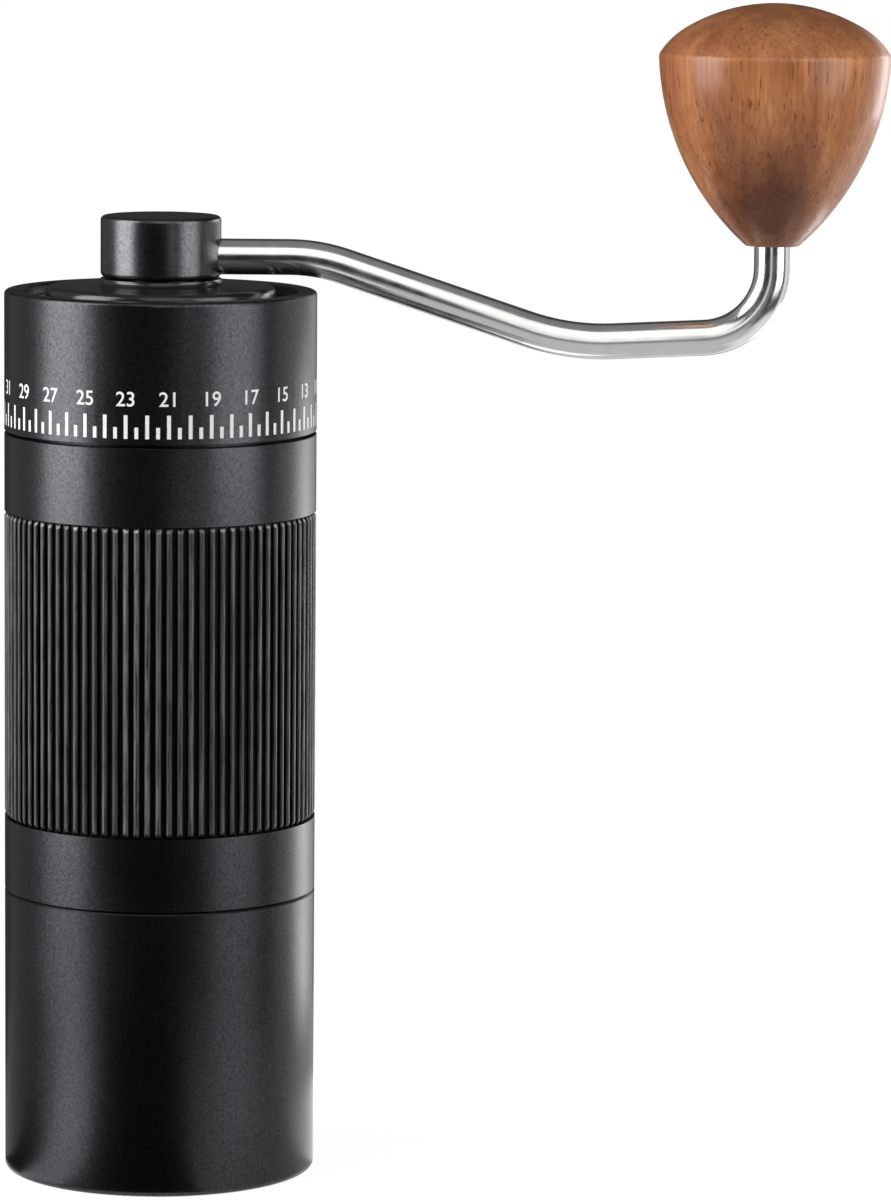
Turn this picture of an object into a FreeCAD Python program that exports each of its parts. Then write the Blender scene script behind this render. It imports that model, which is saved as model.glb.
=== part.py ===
import FreeCAD, Part
import math
import os

import Sketcher
from FreeCAD import Placement, Rotation, Vector

# A hand crank coffee grinder with an outside grind dial, as it comes apart on a bench.
# Millimetres, +Z up. The origin is on the barrel's axis, at the flat base of the catch cup.
# The crank arm lies along +X, and the front of the grinder faces -Y.

# Driving dimensions. Lengths are millimetres and angles are degrees.
# A word ending in _level, _low or _high is a height above the base.
DIMENSIONS = {
    # Outside of the body
    "body_radius": 27.5,
    "seam_bevel": 0.35,
    "edge_break": 0.12,
    # Catch cup
    "cup_high": 50.3,
    "cup_wall": 2.6,
    "cup_floor": 2.5,
    "cup_floor_round": 4.0,
    "cup_foot_round": 1.0,
    # Barrel
    "barrel_low": 50.5,
    "barrel_high": 131.6,
    "bore_radius": 24.0,
    "spigot_radius": 24.5,
    "spigot_bore_radius": 21.5,
    "spigot_low": 42.8,
    "neck_radius": 25.2,
    "neck_high": 142.8,
    "slot_width": 5.0,
    "slot_low": 137.3,
    # Seal ring between the spigot and the cup
    "seal_level": 46.6,
    "seal_ring_radius": 23.9,
    "seal_wire_radius": 0.8,
    "seal_groove_radius": 23.05,
    "seal_groove_width": 2.2,
    # Grip sleeve
    "grip_low": 63.4,
    "grip_high": 117.9,
    "grip_seat_radius": 25.9,
    "grip_web_radius": 26.75,
    "grip_gap": 0.05,
    "rib_count": 90,
    "rib_radius": 0.5,
    "rib_end_length": 1.0,
    "rib_end_depth": 0.6,
    # Grind dial
    "dial_low": 132.1,
    "dial_high": 156.7,
    "dial_bore_radius": 25.35,
    "dial_edge_round": 0.7,
    "dial_thread_radius": 24.95,
    "dial_thread_low": 143.2,
    "dial_lip_radius": 24.2,
    "dial_lip_low": 153.7,
    "unit_count": 46,
    "zero_angle": 80.0,
    "mark_rise": 1.15,
    "mark_width": 0.7,
    "mark_depth": 0.15,
    "mark_sunk": 0.02,
    "long_mark": 4.1,
    "short_mark": 2.0,
    # Snap ring that holds the dial on the neck
    "snap_low": 134.6,
    "snap_thickness": 1.0,
    "snap_inner_radius": 24.65,
    "snap_outer_radius": 26.0,
    "snap_gap": 7.0,
    "clip_play": 0.1,
    # Click detent under the dial
    "detent_circle": 26.2,
    "detent_hole_radius": 0.75,
    "detent_hole_low": 125.0,
    "detent_ball_radius": 0.7,
    "detent_ball_level": 131.1,
    "detent_spring_low": 125.3,
    "detent_spring_high": 130.1,
    "detent_spring_radius": 0.5,
    "detent_wire_radius": 0.12,
    "detent_turns": 6,
    "notch_radius": 0.45,
    "notch_depth": 0.3,
    "notch_end_radius": 27.0,
    # Ball bearings, both the same size
    "bearing_outer_radius": 8.0,
    "bearing_inner_radius": 4.0,
    "bearing_width": 5.0,
    "outer_race_radius": 6.9,
    "inner_race_radius": 5.1,
    "ball_circle": 6.0,
    "ball_radius": 0.95,
    "raceway_radius": 1.0,
    "ball_count": 9,
    # Lower bearing spider, clamped over the outer burr
    "spider_low": 68.3,
    "spider_high": 92.3,
    "spider_radius": 23.95,
    "spider_ring_radius": 22.6,
    "spider_hub_radius": 10.6,
    "spider_hub_low": 85.3,
    "spider_web_low": 86.8,
    "spider_web_high": 90.8,
    "lower_bearing_low": 86.3,
    "bearing_lip_radius": 6.4,
    "window_half_angle": 51.0,
    "window_inset": 0.4,
    "arm_count": 3,
    "screw_level": 80.3,
    "screw_radius": 1.2,
    "screw_head_radius": 2.2,
    "screw_head_height": 0.9,
    "screw_sunk": 0.2,
    "screw_end_radius": 22.7,
    "screw_play": 0.05,
    # Bearing carriage, threaded into the dial
    "carriage_low": 146.4,
    "carriage_high": 152.4,
    "carriage_web_high": 149.4,
    "carriage_radius": 24.8,
    "carriage_ring_radius": 22.6,
    "carriage_hub_radius": 10.5,
    "upper_bearing_low": 147.4,
    "key_width": 4.8,
    "key_low": 140.2,
    "key_inner": 23.0,
    "key_outer": 24.6,
    # Outer burr
    "outer_burr_low": 52.3,
    "outer_burr_high": 68.3,
    "outer_burr_radius": 23.95,
    "burr_exit_radius": 20.6,
    "burr_waist_radius": 19.2,
    "burr_waist_level": 56.3,
    "burr_entry_radius": 17.6,
    "feed_flute_count": 14,
    "feed_flute_depth": 1.6,
    "feed_flute_half_angle": 5.2,
    # Inner burr
    "inner_burr_low": 51.3,
    "inner_burr_high": 79.3,
    "burr_clearance": 0.34,
    "inner_burr_top_radius": 7.5,
    "crusher_count": 7,
    "crusher_depth": 4.2,
    "crusher_head_depth": 2.2,
    "crusher_half_angle": 19.0,
    "crusher_twist": 26.0,
    "tooth_count": 42,
    "tooth_depth": 0.9,
    "tooth_half_angle": 3.0,
    "tooth_twist": 6.0,
    # Main shaft and what is threaded on it
    "shaft_low": 44.8,
    "shaft_high": 166.1,
    "shaft_radius": 3.97,
    "shaft_thread_radius": 2.9,
    "shaft_thread_high": 54.3,
    "burr_hex_radius": 3.4,
    "drive_hex_radius": 3.9,
    "drive_hex_low": 153.5,
    "drive_core_radius": 3.3,
    "collar_radius": 5.0,
    "collar_low": 145.8,
    "hex_play": 0.06,
    "nut_radius": 5.77,
    "nut_height": 4.5,
    "washer_radius": 7.0,
    "washer_thickness": 1.0,
    "bolt_hole_radius": 3.0,
    "clip_thickness": 0.8,
    "clip_gap": 2.4,
    "shaft_clip_low": 152.45,
    "shaft_clip_inner_radius": 3.55,
    "shaft_clip_outer_radius": 5.3,
    "shaft_groove_radius": 3.5,
    # Spring between the lower bearing and the inner burr
    "spring_low": 79.8,
    "spring_high": 85.8,
    "spring_radius": 4.85,
    "spring_wire_radius": 0.4,
    "spring_turns": 4,
    # Crank hub
    "hub_radius": 10.6,
    "hub_low": 159.0,
    "hub_high": 169.8,
    "hub_top_round": 0.8,
    "hub_foot_round": 0.9,
    "skirt_radius": 7.0,
    "skirt_low": 153.8,
    "socket_radius": 4.02,
    "socket_high": 166.15,
    "lid_clip_low": 155.2,
    "lid_clip_inner_radius": 6.45,
    "lid_clip_outer_radius": 8.6,
    "lid_groove_radius": 6.4,
    # Crank arm, a bent steel rod
    "rod_radius": 3.15,
    "arm_level": 162.66,
    "arm_start": 5.25,
    "arm_socket_start": 5.2,
    "arm_corner": 27.5,
    "arm_second_corner": 71.7,
    "arm_reach": 107.3,
    "arm_slope": 18.45,
    "arm_rise": 2.69,
    "arm_bend": 30.0,
    "arm_second_bend": 42.0,
    "elbow_bend": 12.3,
    # Spindle at the end of the arm, inside the knob
    "shoulder_level": 167.4,
    "spindle_radius": 2.4,
    "spindle_high": 194.4,
    "spindle_groove_radius": 1.9,
    "knob_clip_low": 192.3,
    "knob_clip_inner_radius": 1.95,
    "knob_clip_outer_radius": 3.1,
    "knob_clip_gap": 1.6,
    "knob_washer_thickness": 0.5,
    "knob_washer_radius": 3.35,
    "bushing_bore_radius": 2.45,
    "bushing_low": 168.0,
    "bushing_high": 192.0,
    # Wooden knob
    "knob_low": 165.35,
    "knob_high": 207.75,
    "knob_ridge_level": 198.7,
    "knob_radius": 20.3,
    "knob_foot_radius": 4.7,
    "knob_side_bend": 46.5,
    "knob_shoulder_radius": 15.0,
    "knob_shoulder_level": 203.75,
    "knob_shoulder_bend": 14.35,
    "knob_dome_bend": 30.125,
    "knob_ridge_round": 1.4,
    "knob_foot_round": 0.4,
    "knob_bore_radius": 3.45,
    "knob_bore_high": 196.0,
    # Hopper lid
    "lid_flange_radius": 23.8,
    "lid_flange_low": 152.6,
    "lid_flange_high": 154.9,
    "lid_plateau_radius": 20.0,
    "lid_plateau_foot_radius": 20.5,
    "lid_plateau_high": 157.4,
    "lid_crown_radius": 11.6,
    "lid_crown_high": 157.85,
    "lid_collar_radius": 10.6,
    "lid_collar_high": 158.8,
    "lid_collar_bend": 1.0,
    "lid_step_round": 1.2,
    "lid_hole_radius": 7.3,
    "lid_web_low": 156.2,
    "lid_web_radius": 17.4,
    "lid_plug_radius": 22.2,
    "lid_plug_inner_radius": 20.6,
    "lid_plug_low": 149.7,
    "lid_plug_bevel": 0.3,
    "lid_vault_low": 153.4,
    "gasket_level": 151.3,
    "gasket_ring_radius": 21.97,
    "gasket_wire_radius": 0.53,
    "gasket_groove_radius": 21.4,
    "gasket_groove_width": 1.4,
}

FULL_TURN = 360
HEXAGON = 6
QUARTER_TURNS = 4
OVERSHOOT = 1.0

doc = FreeCAD.newDocument("coffee_grinder")
subparts = []


class Size:
    """A number together with the spreadsheet expression that gives it."""

    def __init__(self, value, text):
        self.value = value
        self.text = text

    def __add__(self, other):
        other = as_size(other)
        return Size(self.value + other.value, f"({self.text} + {other.text})")

    def __sub__(self, other):
        other = as_size(other)
        return Size(self.value - other.value, f"({self.text} - {other.text})")

    def __mul__(self, other):
        other = as_size(other)
        return Size(self.value * other.value, f"({self.text} * {other.text})")

    def __truediv__(self, other):
        other = as_size(other)
        return Size(self.value / other.value, f"({self.text} / {other.text})")

    def __neg__(self):
        return Size(-self.value, f"(-{self.text})")

    def __radd__(self, other):
        return as_size(other) + self

    def __rmul__(self, other):
        return as_size(other) * self

    def __rtruediv__(self, other):
        return as_size(other) / self

    def cos(self):
        return Size(math.cos(math.radians(self.value)), f"cos({self.text} * 1deg)")

    def sin(self):
        return Size(math.sin(math.radians(self.value)), f"sin({self.text} * 1deg)")


class Dimensions:
    """The driving dimensions, each one a Size read from its spreadsheet cell by its alias."""


def as_size(amount):
    if isinstance(amount, Size):
        return amount
    return Size(float(amount), repr(float(amount)))


def make_sheet():
    sheet = doc.addObject("Spreadsheet::Sheet", "Dims")
    sizes = Dimensions()
    for row, (alias, value) in enumerate(DIMENSIONS.items(), 1):
        sheet.set(f"A{row}", alias)
        sheet.set(f"B{row}", str(value))
        sheet.setAlias(f"B{row}", alias)
        setattr(sizes, alias, Size(value, f"Dims.{alias}"))
    doc.recompute()
    return sizes


d = make_sheet()

# Drawing and solid features


def keep(item):
    """Counts an object as one of the grinder's pieces."""
    subparts.append(item)
    return item


def bind(item, path, amount):
    item.setExpression(path, as_size(amount).text)


def new_body(name):
    return keep(doc.addObject("PartDesign::Body", name))


def origin_feature(body, role):
    return next(f for f in body.Origin.OriginFeatures if f.Role == role)


def new_sketch(body, name, role, level=None, turn=None):
    """An empty sketch on one of the body's own planes, moved along the normal and turned about it."""
    sketch = body.newObject("Sketcher::SketchObject", name)
    sketch.AttachmentSupport = (origin_feature(body, role), [""])
    sketch.MapMode = "FlatFace"
    if level is not None:
        bind(sketch, "AttachmentOffset.Base.z", level)
    if turn is not None:
        bind(sketch, "AttachmentOffset.Rotation.Angle", turn)
    return sketch


def hold(sketch, shape, corner, x, y):
    """Holds a corner of a sketch at two sizes, or on an axis where a size is nought."""
    for kind, axis, amount in (("DistanceX", -2, as_size(x)), ("DistanceY", -1, as_size(y))):
        if amount.value == 0:
            sketch.addConstraint(Sketcher.Constraint("PointOnObject", shape, corner, axis))
        else:
            index = sketch.addConstraint(Sketcher.Constraint(kind, shape, corner, amount.value))
            bind(sketch, f"Constraints[{index}]", amount)


def hold_radius(sketch, shape, radius):
    index = sketch.addConstraint(Sketcher.Constraint("Radius", shape, abs(radius.value)))
    bind(sketch, f"Constraints[{index}]", radius)


def arc_through(start, end, radius):
    """An arc from start to end that turns left where the radius is positive, and right where negative."""
    chord = end - start
    middle = (start + end) * 0.5
    left = Vector(-chord.y, chord.x, 0).normalize()
    reach = math.sqrt(max(radius**2 - (chord.Length / 2) ** 2, 0))
    centre = middle + left * math.copysign(reach, radius)
    bulge = (middle - centre).normalize() if reach else left * math.copysign(1, -radius)
    return Part.Arc(start, centre + bulge * abs(radius), end)


def draw(sketch, points):
    """Closes the points into an outline with every corner held by its two sizes.

    A third entry is the radius of the arc that ends at that corner, positive where it turns left.
    """
    corners = [Vector(as_size(p[0]).value, as_size(p[1]).value, 0) for p in points]
    ends = []
    for index, point in enumerate(points):
        start, end = corners[index - 1], corners[index]
        if len(point) == 3:
            radius = as_size(point[2])
            shape = sketch.addGeometry(arc_through(start, end, radius.value))
            forward = radius.value > 0
            ends.append((shape, 1, 2) if forward else (shape, 2, 1))
            hold_radius(sketch, shape, radius if forward else -radius)
        else:
            ends.append((sketch.addGeometry(Part.LineSegment(start, end)), 1, 2))
    for index, point in enumerate(points):
        shape, _, last = ends[index]
        following, first, _ = ends[(index + 1) % len(points)]
        sketch.addConstraint(Sketcher.Constraint("Coincident", shape, last, following, first))
        hold(sketch, shape, last, point[0], point[1])
    return sketch


def draw_circle(sketch, x, y, radius):
    centre = Vector(as_size(x).value, as_size(y).value, 0)
    shape = sketch.addGeometry(Part.Circle(centre, Vector(0, 0, 1), radius.value))
    hold_radius(sketch, shape, radius)
    hold(sketch, shape, 3, x, y)
    return sketch


def box_outline(low_x, high_x, width):
    """Corners of a rectangle that lies across the sketch's X axis."""
    half = width / 2
    return [(low_x, -half), (high_x, -half), (high_x, half), (low_x, half)]


def turned(name, points):
    """A piece turned on a lathe: the outline gives radius and height."""
    body = new_body(name)
    sketch = draw(new_sketch(body, f"{name}_outline", "XZ_Plane"), points)
    turning = body.newObject("PartDesign::Revolution", f"{name}_turning")
    turning.Profile = sketch
    turning.ReferenceAxis = (sketch, ["V_Axis"])
    turning.Angle = FULL_TURN
    return body


def raised(body, kind, name, sketch, height):
    """A Pad or a Pocket that runs upward from its sketch."""
    step = body.newObject(f"PartDesign::{kind}", name)
    step.Profile = sketch
    step.Reversed = kind == "Pocket"
    bind(step, "Length", height)
    return step


def repeated(body, step, count):
    """Repeats a feature round the Z axis."""
    pattern = body.newObject("PartDesign::PolarPattern", f"{step.Name}_ring")
    pattern.Originals = [step]
    pattern.Axis = (origin_feature(body, "Z_Axis"), [""])
    pattern.Angle = FULL_TURN
    bind(pattern, "Occurrences", count)
    body.Tip = pattern
    return pattern


def primitive(body, kind, name, base, along_x=False, **sizes):
    """A PartDesign primitive with its base at (x, y, z), standing up or lying along X."""
    solid = body.newObject(f"PartDesign::{kind}", name)
    if along_x:
        solid.Placement = Placement(Vector(), Rotation(Vector(0, 1, 0), 90))
    for axis, amount in zip("xyz", base):
        bind(solid, f"Placement.Base.{axis}", amount)
    for path, amount in sizes.items():
        bind(solid, path, amount)
    return solid


def hexagon(body, kind, name, low, high, radius):
    prism = primitive(body, kind, name, (0, 0, low), Circumradius=radius, Height=high - low)
    prism.Polygon = HEXAGON
    return prism


def rounded(body, name, radius, *circles):
    """Rounds the circular edges that have these radii and heights."""
    doc.recompute()
    base = body.Tip
    found = []
    for number, edge in enumerate(base.Shape.Edges, 1):
        if edge.Degenerated or not isinstance(edge.Curve, Part.Circle):
            continue
        curve = edge.Curve
        for circle_radius, level in circles:
            if abs(curve.Radius - circle_radius.value) + abs(curve.Center.z - level.value) < 1e-4:
                found.append(f"Edge{number}")
    assert len(found) == len(circles), f"{name} found {len(found)} edges"
    fillet = body.newObject("PartDesign::Fillet", name)
    fillet.Base = (base, found)
    bind(fillet, "Radius", radius)
    return fillet


def cylinder(name, radius, low, high):
    solid = doc.addObject("Part::Cylinder", name)
    bind(solid, "Radius", radius)
    bind(solid, "Height", high - low)
    bind(solid, "Placement.Base.z", low)
    return solid


def without(name, base, tool):
    cut = doc.addObject("Part::Cut", name)
    cut.Base = base
    cut.Tool = tool
    return cut


def washer(name, inner, outer, low, thickness):
    return turned(
        name,
        [(inner, low), (outer, low), (outer, low + thickness), (inner, low + thickness)],
    )


def split_ring(name, inner, outer, low, thickness, gap):
    """A retaining clip: a flat ring with a gap on its +X side."""
    body = washer(name, inner, outer, low, thickness)
    sketch = new_sketch(body, f"{name}_gap", "XY_Plane", low - OVERSHOOT)
    draw(sketch, box_outline(as_size(0), outer + OVERSHOOT, gap))
    raised(body, "Pocket", f"{name}_slit", sketch, thickness + 2 * OVERSHOOT)
    return body


def seal_ring(name, ring_radius, wire_radius, level):
    ring = keep(doc.addObject("Part::Torus", name))
    bind(ring, "Radius1", ring_radius)
    bind(ring, "Radius2", wire_radius)
    bind(ring, "Placement.Base.z", level)
    return ring


def stand_at_knob(body):
    """Moves a piece turned about the origin to the axis of the arm's spindle."""
    bind(body, "Placement.Base.x", d.arm_reach)
    return body


def arms_cut(body, name, inner, outer, low, high):
    """Cuts three windows in a web, which leaves the spider's arms at 60, 180 and 300 degrees."""
    inside, outside = inner + d.window_inset, outer - d.window_inset
    cos, sin = d.window_half_angle.cos(), d.window_half_angle.sin()
    sketch = new_sketch(body, f"{name}_outline", "XY_Plane", low - OVERSHOOT)
    draw(
        sketch,
        [
            (outside * cos, -outside * sin),
            (outside * cos, outside * sin, outside),
            (inside * cos, inside * sin),
            (inside * cos, -inside * sin, -inside),
        ],
    )
    repeated(body, raised(body, "Pocket", name, sketch, high - low + 2 * OVERSHOOT), d.arm_count)


def slanted_flutes(body, name, low, high, count, twist, half_angle, outward=False):
    """Cuts V flutes that lean round the axis from one level to another.

    low and high each give a radius and a height on the burr's face, and the flute's depth there.
    """
    sketches = []
    for tag, (radius, level, depth), turn in (("foot", low, as_size(0)), ("head", high, twist)):
        sketch = new_sketch(body, f"{name}_{tag}", "XY_Plane", level, turn)
        mouth = radius - OVERSHOOT if outward else radius + OVERSHOOT
        root = radius + depth if outward else radius - depth
        side = mouth * half_angle.sin()
        draw(sketch, [(root, 0), (mouth, side), (mouth, -side)])
        sketches.append(sketch)
    flute = body.newObject("PartDesign::SubtractiveLoft", name)
    flute.Profile = sketches[0]
    flute.Sections = [sketches[1]]
    flute.Ruled = True
    repeated(body, flute, count)


# Springs: one wire that follows biarcs, two to each quarter turn


def helix_point(radius, low, rise, angle):
    return Vector(radius * math.cos(angle), radius * math.sin(angle), low + rise * angle)


def helix_tangent(radius, rise, angle):
    return Vector(-radius * math.sin(angle), radius * math.cos(angle), rise).normalize()


def arc_on_corner(start, corner, end):
    """The circular arc that leaves start towards the corner and reaches end from it."""
    half = (corner - start).getAngle(end - corner) / 2
    weight = math.cos(half)
    return Part.Arc(start, (start + corner * (2 * weight) + end) / (2 + 2 * weight), end).toShape()


def biarc(start, start_way, end, end_way):
    """Two arcs that join two points and have the given directions there."""
    chord = end - start
    ways = start_way + end_way
    spread = 2 * (1 - start_way.dot(end_way))
    along = chord.dot(ways)
    reach = (math.sqrt(along**2 + spread * chord.dot(chord)) - along) / spread
    first, second = start + start_way * reach, end - end_way * reach
    joint = (first + second) * 0.5
    return [arc_on_corner(start, first, joint), arc_on_corner(joint, second, end)]


def coil_shape(radius, wire_radius, low, high, turns):
    """A round wire wound into an open coil, and the least gap between its turns."""
    rise = (high - low) / (turns * 2 * math.pi)
    step = 2 * math.pi / QUARTER_TURNS
    edges = []
    for quarter in range(turns * QUARTER_TURNS):
        here, there = quarter * step, (quarter + 1) * step
        edges += biarc(
            helix_point(radius, low, rise, here),
            helix_tangent(radius, rise, here),
            helix_point(radius, low, rise, there),
            helix_tangent(radius, rise, there),
        )
    section = Part.Circle(helix_point(radius, low, rise, 0), helix_tangent(radius, rise, 0), wire_radius)
    path = Part.Wire(edges)
    coil = path.makePipeShell([Part.Wire(section.toShape())], True, False)
    samples = [helix_point(radius, low, rise, step * k / 8) for k in range(turns * QUARTER_TURNS * 8 + 1)]
    apart = QUARTER_TURNS * 4
    gap = min(
        (samples[i] - samples[j]).Length for i in range(len(samples)) for j in range(i + apart, len(samples))
    )
    return coil, gap - 2 * wire_radius


def coil_spring(name, radius, wire_radius, low, high, turns, centre_x=None):
    spring = keep(doc.addObject("Part::Feature", name))
    shape, gap = coil_shape(radius.value, wire_radius.value, low.value, high.value, int(turns.value))
    spring.Shape = shape
    if centre_x is not None:
        spring.Placement = Placement(Vector(centre_x.value, 0, 0), Rotation())
    print(f"{name}: least gap between turns {gap:.2f} mm")
    return spring


# Catch cup


def make_catch_cup():
    inside = d.body_radius - d.cup_wall
    turned(
        "catch_cup",
        [
            (0, 0),
            (d.body_radius - d.cup_foot_round, 0),
            (d.body_radius, d.cup_foot_round, d.cup_foot_round),
            (d.body_radius, d.cup_high - d.seam_bevel),
            (d.body_radius - d.seam_bevel, d.cup_high),
            (inside + d.seam_bevel, d.cup_high),
            (inside, d.cup_high - d.seam_bevel),
            (inside, d.cup_floor + d.cup_floor_round),
            (inside - d.cup_floor_round, d.cup_floor, -d.cup_floor_round),
            (0, d.cup_floor),
        ],
    )


# Barrel and what is fixed in it


def make_barrel():
    groove_low = d.seal_level - d.seal_groove_width / 2
    groove_high = d.seal_level + d.seal_groove_width / 2
    snap_high = d.snap_low + d.snap_thickness
    snap_groove = d.snap_inner_radius - d.clip_play / 2
    sink_slope = (d.screw_head_radius - d.screw_radius) / d.screw_head_height
    body = turned(
        "barrel",
        [
            (d.spigot_bore_radius, d.spigot_low),
            (d.spigot_radius - d.seam_bevel, d.spigot_low),
            (d.spigot_radius, d.spigot_low + d.seam_bevel),
            (d.spigot_radius, groove_low),
            (d.seal_groove_radius, groove_low),
            (d.seal_groove_radius, groove_high),
            (d.spigot_radius, groove_high),
            (d.spigot_radius, d.barrel_low),
            (d.body_radius - d.edge_break, d.barrel_low),
            (d.body_radius, d.barrel_low + d.edge_break),
            (d.body_radius, d.grip_low),
            (d.grip_seat_radius, d.grip_low),
            (d.grip_seat_radius, d.grip_high),
            (d.body_radius, d.grip_high),
            (d.body_radius, d.barrel_high - d.edge_break),
            (d.body_radius - d.edge_break, d.barrel_high),
            (d.neck_radius, d.barrel_high),
            (d.neck_radius, d.snap_low - d.clip_play),
            (snap_groove, d.snap_low - d.clip_play),
            (snap_groove, snap_high + d.clip_play),
            (d.neck_radius, snap_high + d.clip_play),
            (d.neck_radius, d.neck_high - d.seam_bevel),
            (d.neck_radius - d.seam_bevel, d.neck_high),
            (d.bore_radius, d.neck_high),
            (d.bore_radius, d.outer_burr_low),
            (d.spigot_bore_radius, d.outer_burr_low),
        ],
    )
    slot = new_sketch(body, "key_slot_outline", "XY_Plane", d.slot_low)
    draw(slot, box_outline(d.bore_radius - OVERSHOOT, d.neck_radius + OVERSHOOT, d.slot_width))
    slot_cut = raised(body, "Pocket", "key_slot", slot, d.neck_high - d.slot_low + OVERSHOOT)
    repeated(body, slot_cut, d.arm_count)
    screw_holes(body, "barrel_screw", d.bore_radius - OVERSHOOT, d.grip_seat_radius + OVERSHOOT)
    head = primitive(
        body,
        "SubtractiveCone",
        "screw_countersink",
        (d.grip_seat_radius - d.screw_sunk - d.screw_head_height, 0, d.screw_level),
        along_x=True,
        Radius1=d.screw_radius + d.screw_play,
        Radius2=d.screw_head_radius + d.screw_play + d.screw_sunk * sink_slope,
        Height=d.screw_head_height + d.screw_sunk,
    )
    repeated(body, head, d.arm_count)
    primitive(
        body,
        "SubtractiveCylinder",
        "detent_hole",
        (d.detent_circle, 0, d.detent_hole_low),
        Radius=d.detent_hole_radius,
        Height=d.barrel_high - d.detent_hole_low + OVERSHOOT,
    )


def screw_holes(body, name, start, end):
    """Drills a clearance hole along X and repeats it for the spider's screws."""
    hole = primitive(
        body,
        "SubtractiveCylinder",
        f"{name}_hole",
        (start, 0, d.screw_level),
        along_x=True,
        Radius=d.screw_radius + d.screw_play,
        Height=end - start,
    )
    repeated(body, hole, d.arm_count)


def make_grip_sleeve():
    low, high = d.grip_low + d.grip_gap, d.grip_high - d.grip_gap
    inner = d.grip_seat_radius + d.grip_gap
    body = washer("grip_sleeve", inner, d.grip_web_radius, low, high - low)
    sketch = new_sketch(body, "grip_rib_outline", "XY_Plane", low)
    draw_circle(sketch, d.body_radius - d.rib_radius, 0, d.rib_radius)
    repeated(body, raised(body, "Pad", "grip_rib", sketch, high - low), d.rib_count)
    slope = d.rib_end_length / d.rib_end_depth
    for name, end, inward in (("grip_foot", low, 1), ("grip_head", high, -1)):
        taper = new_sketch(body, f"{name}_taper", "XZ_Plane")
        start, beyond = d.body_radius - d.rib_end_depth, d.body_radius + OVERSHOOT
        draw(
            taper,
            [
                (start, end),
                (start, end - inward * OVERSHOOT),
                (beyond, end - inward * OVERSHOOT),
                (beyond, end + inward * (beyond - start) * slope),
            ],
        )
        groove = body.newObject("PartDesign::Groove", name)
        groove.Profile = taper
        groove.ReferenceAxis = (taper, ["V_Axis"])
        groove.Angle = FULL_TURN


def make_spider():
    body = turned(
        "lower_bearing_spider",
        [
            (d.bearing_lip_radius, d.spider_hub_low),
            (d.spider_hub_radius, d.spider_hub_low),
            (d.spider_hub_radius, d.spider_web_low),
            (d.spider_ring_radius, d.spider_web_low),
            (d.spider_ring_radius, d.spider_low),
            (d.spider_radius, d.spider_low),
            (d.spider_radius, d.spider_high),
            (d.spider_ring_radius, d.spider_high),
            (d.spider_ring_radius, d.spider_web_high),
            (d.spider_hub_radius, d.spider_web_high),
            (d.spider_hub_radius, d.spider_high),
            (d.bearing_outer_radius, d.spider_high),
            (d.bearing_outer_radius, d.lower_bearing_low),
            (d.bearing_lip_radius, d.lower_bearing_low),
        ],
    )
    arms_cut(
        body, "spider_window", d.spider_hub_radius, d.spider_ring_radius, d.spider_web_low, d.spider_web_high
    )
    screw_holes(body, "spider_screw", d.spider_ring_radius - OVERSHOOT, d.spider_radius + OVERSHOOT)


def make_spider_screws():
    """Three countersunk screws through the barrel wall, hidden under the grip sleeve."""
    head_start = d.grip_seat_radius - d.screw_sunk - d.screw_head_height
    screws = []
    for place in range(int(d.arm_count.value)):
        shank = doc.addObject("Part::Cylinder", f"screw_shank_{place}")
        bind(shank, "Radius", d.screw_radius)
        bind(shank, "Height", head_start - d.screw_end_radius)
        bind(shank, "Placement.Base.z", d.screw_end_radius)
        head = doc.addObject("Part::Cone", f"screw_head_{place}")
        bind(head, "Radius1", d.screw_radius)
        bind(head, "Radius2", d.screw_head_radius)
        bind(head, "Height", d.screw_head_height)
        bind(head, "Placement.Base.z", head_start)
        screw = doc.addObject("Part::Fuse", f"screw_{place}")
        screw.Base = shank
        screw.Tool = head
        angle = FULL_TURN / d.arm_count.value * place
        lying = Rotation(Vector(0, 0, 1), angle) * Rotation(Vector(0, 1, 0), 90)
        screw.Placement = Placement(Vector(), lying)
        bind(screw, "Placement.Base.z", d.screw_level)
        screws.append(screw)
    keep(doc.addObject("Part::Compound", "spider_screws")).Links = screws


def make_detent():
    ball = keep(doc.addObject("Part::Sphere", "detent_ball"))
    bind(ball, "Radius", d.detent_ball_radius)
    bind(ball, "Placement.Base.x", d.detent_circle)
    bind(ball, "Placement.Base.z", d.detent_ball_level)
    coil_spring(
        "detent_spring",
        d.detent_spring_radius,
        d.detent_wire_radius,
        d.detent_spring_low,
        d.detent_spring_high,
        d.detent_turns,
        d.detent_circle,
    )


# Ball bearings


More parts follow.
